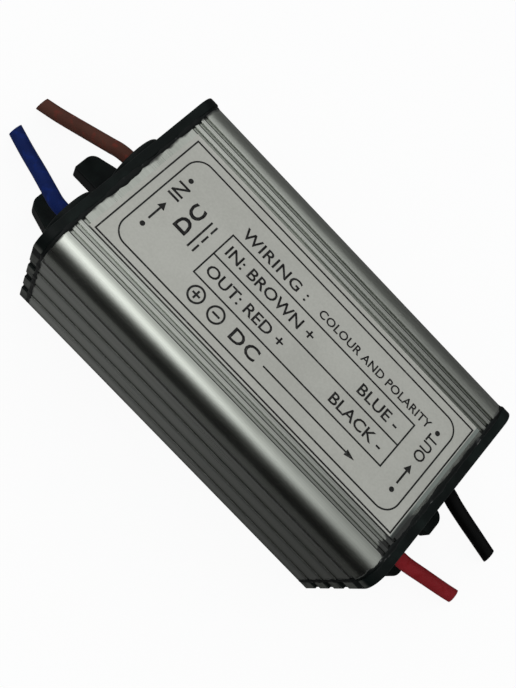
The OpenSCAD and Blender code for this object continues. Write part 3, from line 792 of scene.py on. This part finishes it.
def label_print(ink):
    """Frames, a small wiring table and plain signs."""
    line = 0.25
    bold = 0.32
    sheet = Print()
    sheet.stroke([(-28.76, -10.8), (29.36, -10.8), (29.36, 9.8), (-28.76, 9.8)], line, True)
    sheet.frame((-27.15, -9.43), (27.72, 8.38), 2.5, line)
    table_lo, table_hi, middle = (-15.45, -4.88), (22.22, 3.43), -0.73
    sheet.stroke([table_lo, (table_hi[0], table_lo[1]), table_hi, (table_lo[0], table_hi[1])], line, True)
    sheet.stroke([(table_lo[0], middle), (table_hi[0], middle)], line)
    sheet.words("WIRING :", (-14.7, 4.4), 1.8, 0, 1.2, 1.08)
    sheet.words("COLOUR AND POLARITY", (1.0, 4.5), 1.35, 0, 1.05, 1.04)
    rows = ((0.45, "IN: BROWN +", 12.4, "BLUE -"), (-3.7, "OUT: RED +", 10.2, "BLACK -"))
    for y, plus_wire, minus_x, minus_wire in rows:
        sheet.words(plus_wire, (-14.6, y), 1.85, 0, 1.12)
        sheet.words(minus_wire, (minus_x, y), 1.85, 0, 1.12)
    for x, plus in ((-12.9, True), (-9.0, False)):
        sheet.hoop(x, -7.0, 1.25, bold)
        sheet.stroke([(x - 0.7, -7.0), (x + 0.7, -7.0)], bold)
        # The upright of a plus is in two parts, because strokes that cross would overlap
        if plus:
            sheet.stroke([(x, -7.7), (x, -7.16)], bold)
            sheet.stroke([(x, -6.84), (x, -6.3)], bold)
    sheet.words("DC", (-6.0, -8.0), 2.1, 0, 1.2, 1.15, 0.05)
    sheet.stroke([(0.6, -7.2), (17.2, -7.2)], line)
    sheet.polygon([(17.2, -7.7), (18.9, -7.2), (17.2, -6.7)])
    sheet.words("IN", (-24.1, 0.5), 2.2, 90, 1.0)
    sheet.words("OUT", (26.5, -0.3), 1.9, 90, 0.86)
    for x, start in ((-25.1, -4.2), (25.6, -4.9)):
        sheet.stroke([(x, start), (x, start + 2.4)], bold)
        sheet.polygon([(x - 0.65, start + 2.4), (x + 0.65, start + 2.4), (x, start + 3.6)])
    for spot in ((-25.1, 4.5), (-25.1, -5.4), (25.6, 5.2), (25.6, -6.1)):
        sheet.disc(*spot, 0.4)
    sheet.words("DC", (-20.1, -2.4), 2.3, 90, 1.1, 1.15, 0.09)
    sheet.stroke([(-18.7, -2.9), (-18.7, 2.4)], bold)
    for k in range(3):
        start = -2.9 + 1.95 * k
        sheet.stroke([(-17.7, start), (-17.7, start + 1.4)], bold)
    return sheet.piece("label_print", ink)


def make_leads(finishes, copper):
    """The four leads, each with its copper strands."""
    strands = strand_builder()
    for colour, (end, side, free) in LEADS.items():
        route = lead_route(end, side, free)
        lead = add_object(f"{colour}_lead", lead_mesh(f"{colour}_lead", route, end))
        dress(lead.data, finishes[colour])
        settle(lead, f"{colour}_wire")
        length = sum((b - a).length for a, b in zip(route, route[1:]))
        core = strands.run(f"{colour}_strands", bpy.data.meshes.new("start"), {
            "Strand Radius": STRAND_R, "Ring Radius": STRAND_RING_R, "Length": STRAND_LENGTH, "Count": 6,
            "Material": copper,
        })
        ahead = (route[-1] - route[-2]).normalized()
        turn = ahead.to_track_quat("Z", "Y").to_matrix().to_4x4()
        core.data.transform(Matrix.Translation(route[-1] - STRAND_LENGTH * ahead) @ turn)
        settle(core)


def make_sealant(sealant):
    """Sealant squeezed out of the joints of the case and round the leads."""
    beads = bead_builder()
    for name, end, seed in (("input", -1, 3.0), ("output", 1, 8.0)):
        joint = case_outline(end * (CASE_END + SEAL_T / 2), 0.08 * MM)
        settle(beads.run(f"{name}_sealant_bead", line_mesh("joint", joint), {
            "Spacing": 0.25 * MM, "Thin": 0.16 * MM, "Thick": 0.62 * MM, "Lump Size": 2.2 * MM, "Seed": seed,
            "Flatness": 0.4, "Material": sealant,
        }))
        for side, hand in ((-1, "left"), (1, "right")):
            section = circle(side * LEAD_Y, LEAD_Z, LEAD_D / 2 + 0.08 * MM, 32)
            collar = line_mesh("collar", [(end * LEAD_EXIT_X, y, z) for y, z in section], True)
            settle(beads.run(f"{name}_lead_collar_{hand}", collar, {
                "Spacing": 0.25 * MM, "Thin": 0.1 * MM, "Thick": 0.34 * MM, "Lump Size": 1.2 * MM,
                "Seed": seed + side, "Flatness": 0.8, "Material": sealant,
            }))


def plane(name, centre, across, up, material):
    """A flat rectangle of the set, given by its half extents."""
    corners = [centre - across - up, centre + across - up, centre + across + up, centre - across + up]
    mesh = bpy.data.meshes.new(name)
    mesh.from_pydata(corners, [], [(0, 1, 2, 3)])
    piece = add_object(name, mesh)
    dress(mesh, material)
    return piece


def seen_directly(tree):
    """1 for rays that show the set itself: from the camera, in a reflection or through glass."""
    kinds = ("Camera", "Glossy", "Transmission")
    rays = [tree.node("ShaderNodeLightPath", out=f"Is {kind} Ray") for kind in kinds]
    both = rays[0].combine("MAXIMUM", rays[0], rays[1])
    return both.combine("MAXIMUM", both, rays[2])


def make_world():
    """White surroundings, with plainer light for the surfaces."""
    world = bpy.data.worlds.new("studio")
    world.use_nodes = True
    bpy.context.scene.world = world
    world.node_tree.nodes.clear()
    tree = Tree(world.node_tree)
    light = tree.node("ShaderNodeBackground", {}, {"Color": (0.97, 0.99, 1.0, 1), "Strength": 0.85})
    white = tree.node("ShaderNodeBackground", {}, {"Color": (1, 1, 1, 1), "Strength": 1.0})
    shown = tree.node("ShaderNodeMixShader", {}, {0: seen_directly(tree), 1: light, 2: white})
    tree.node("ShaderNodeOutputWorld", {}, {"Surface": shown})


def pale_floor():
    """Pale paper that keeps the part's shadow and is lifted to white where it is seen."""
    finish = Finish("pale_floor")
    paper = finish.node("ShaderNodeBsdfDiffuse", {}, {"Color": (0.86, 0.86, 0.86, 1)})
    glow = finish.node("ShaderNodeEmission", {}, {"Color": (1, 1, 1, 1), "Strength": 1.0})
    lifted = finish.node("ShaderNodeMixShader", {}, {0: 0.92 * seen_directly(finish), 1: paper, 2: glow})
    finish.node("ShaderNodeOutputMaterial", {}, {"Surface": lifted})
    return finish.material


def matt_card(name, near, far, start, stop, lift=0.0):
    """Card seen only in reflections: its grey changes along the case and may rise towards the front."""
    finish = Finish(name)
    grey = near + (far - near) * finish.step(finish.axis("X"), start, stop)
    grey = grey * (1 + lift * finish.step(finish.axis("Y"), 240, -60))
    glow = finish.node("ShaderNodeEmission", {}, {"Color": grey, "Strength": 1.0})
    finish.node("ShaderNodeOutputMaterial", {}, {"Surface": glow})
    return finish.material


def make_cards():
    """Grey cards round the part, which give its metal something to reflect."""
    wide = (160, 0, 0)
    dark = matt_card("dark_card", 0.012, 0.002, -60, 60)
    dim = matt_card("dim_card", 0.16, 0.11, -60, 60)
    low = matt_card("low_card", 0.185, 0.074, -40, 40)
    sky = matt_card("sky_card", 0.92, 0.23, -120, 240, 0.5)
    cards = (
        ("card_front", (0, -85, 53), wide, (0, 0, 53), dark),
        # The low cards lie just above the floor round and under the part and show in reflections a floor
        # darker than it is: painted shade of the floor by the part
        ("card_front_low", (0, -45, 0.2), wide, (0, 40, 0), low),
        ("card_under", (0, 0, 0.2), wide, (0, 5, 0), low),
        ("card_back", (0, 95, 45), wide, (0, 0, 45), dim),
        ("card_back_low", (0, 50, 0.2), wide, (0, 45, 0), dim),
        ("card_above", (0, 0, 600), (700, 0, 0), (0, 700, 0), sky),
    )
    for name, centre, across, up, material in cards:
        piece = plane(name, Vector(centre) * MM, Vector(across) * MM, Vector(up) * MM, material)
        piece.visible_camera = False
        piece.visible_diffuse = False
        piece.visible_shadow = False


def make_stage():
    """Floor, cards and one large soft light above the part."""
    plane("floor", Vector((0, 0, 0)), Vector((3, 0, 0)), Vector((0, 3, 0)), pale_floor())
    make_cards()
    data = bpy.data.lights.new("softbox", "AREA")
    data.shape = "RECTANGLE"
    data.size = 0.26
    data.size_y = 0.11
    data.energy = 0.175
    lamp = add_object("softbox", data)
    lamp.visible_camera = False
    place = Vector((-0.07, -0.13, 0.42))
    aim = Vector((0, 0, 0.02))
    turn = (place - aim).to_track_quat("Z", "Y").to_matrix().to_4x4()
    lamp.matrix_world = Matrix.Translation(place) @ turn


def dress_inner_parts(sealant):
    """Finishes of the CAD nodes that stay as they are."""
    epoxy = dull_body("moulded_epoxy", srgb(24, 24, 26), srgb(40, 40, 42), 0.5, 0.15)
    tin = bare_metal("bright_solder", srgb(168, 168, 165), srgb(206, 206, 203), 0.2)
    sleeve = capacitor_sleeve()
    finishes = {
        "input_seal": sealant,
        "output_seal": sealant,
        "label": label_film(),
        "circuit_board": circuit_laminate(),
        "input_capacitor": sleeve,
        "output_capacitor": sleeve,
        "inductor_core": dull_body("ferrite", srgb(44, 44, 47), srgb(66, 66, 69), 0.6, 0.3),
        "inductor_winding": wound_copper(),
        "controller_chip": epoxy,
        "power_transistor": epoxy,
        "rectifier_diode": epoxy,
        "sense_resistors": epoxy,
        "ceramic_capacitors": dull_body("ceramic_body", srgb(150, 112, 74), srgb(190, 152, 110), 0.55, 0.2),
        "conductor_ends": tin,
        "solder_joints": tin,
    }
    for name, material in finishes.items():
        dress(cad_nodes[name].data, material)


bpy.context.scene.view_settings.view_transform = "Standard"
make_camera()
make_leads(
    {
        "blue": insulation("blue_insulation", srgb(11, 24, 67), srgb(16, 34, 88), srgb(16, 37, 100)),
        "brown": insulation("brown_insulation", srgb(64, 38, 32), srgb(84, 52, 42), srgb(104, 44, 36)),
        "black": insulation("black_insulation", srgb(2, 3, 3), srgb(5, 6, 6), srgb(8, 9, 9)),
        "red": insulation("red_insulation", srgb(102, 18, 22), srgb(128, 30, 36), srgb(108, 14, 18)),
    },
    bare_metal("copper_strand", srgb(150, 74, 40), srgb(206, 122, 76), 0.3),
)
make_world()
make_stage()
sealant = black_sealant()
plastic = moulded_plastic()
softened_copy("case", "case_shell", 0.035 * MM, 1.0, 2, extruded_aluminium())
softened_copy("input_cap", "input_end_cap", 0.22 * MM, 0.3, 3, plastic)
softened_copy("output_cap", "output_end_cap", 0.22 * MM, 0.3, 3, plastic)
make_sealant(sealant)
label_print(printing_ink())
dress_inner_parts(sealant)
